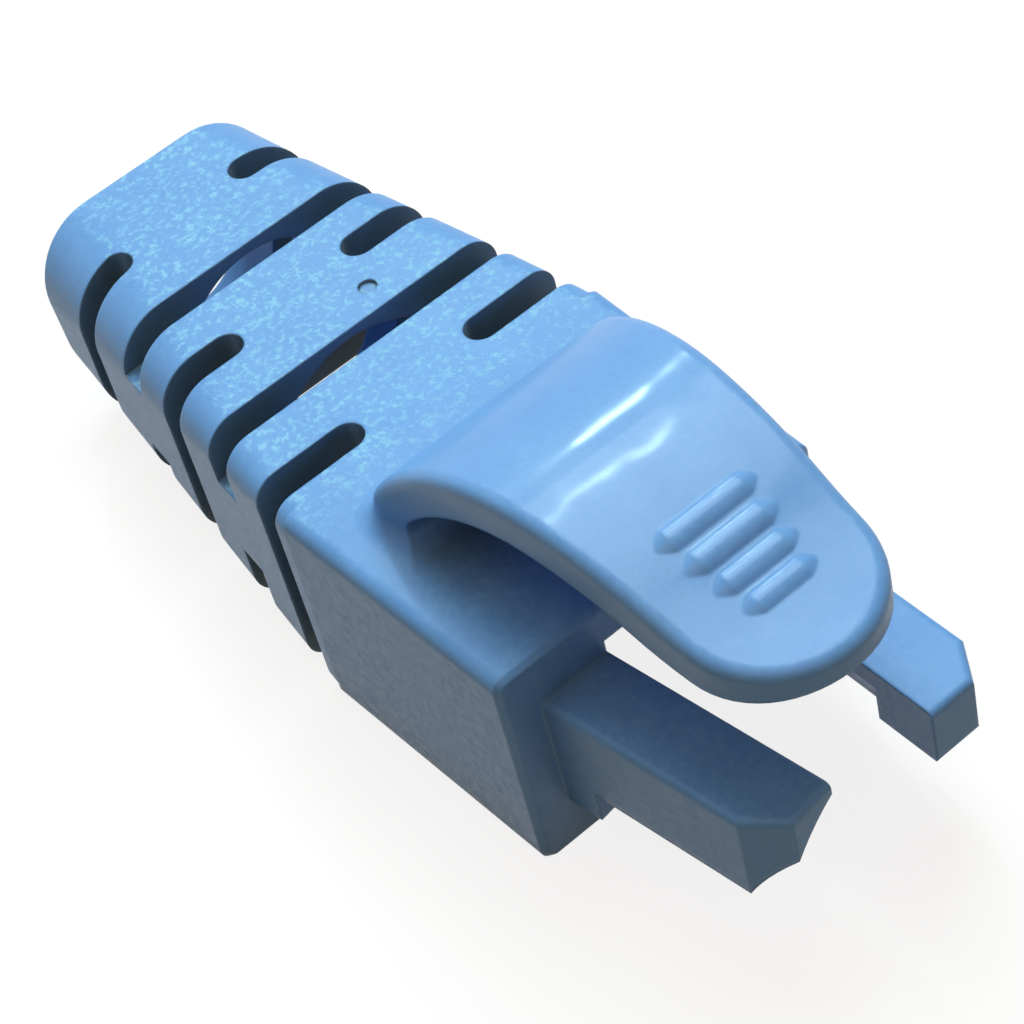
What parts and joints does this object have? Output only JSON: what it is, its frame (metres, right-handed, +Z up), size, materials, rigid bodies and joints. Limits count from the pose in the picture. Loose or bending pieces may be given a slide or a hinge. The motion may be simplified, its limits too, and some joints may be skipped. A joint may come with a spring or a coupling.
{
  "type": "rj45 strain relief boot",
  "caption": "Moulded boot that slides over a network cable behind its plug: slotted tapered sleeve, arched latch guard and gripping prongs.",
  "frame": {"origin": "middle of the boot's length and width, on the plane of its flat underside", "axes": "+Y from the prongs to the tail, along the cable; +Z up, from the flat underside to the arched latch guard; +X across"},
  "size_m": [0.0142, 0.0408, 0.0151],
  "materials": {
    "blue_plastic": "satin, soft flexible plastic"
  },
  "bodies": {
    "root": {"strain_relief_boot": "blue_plastic"}
  },
  "joints": []
}
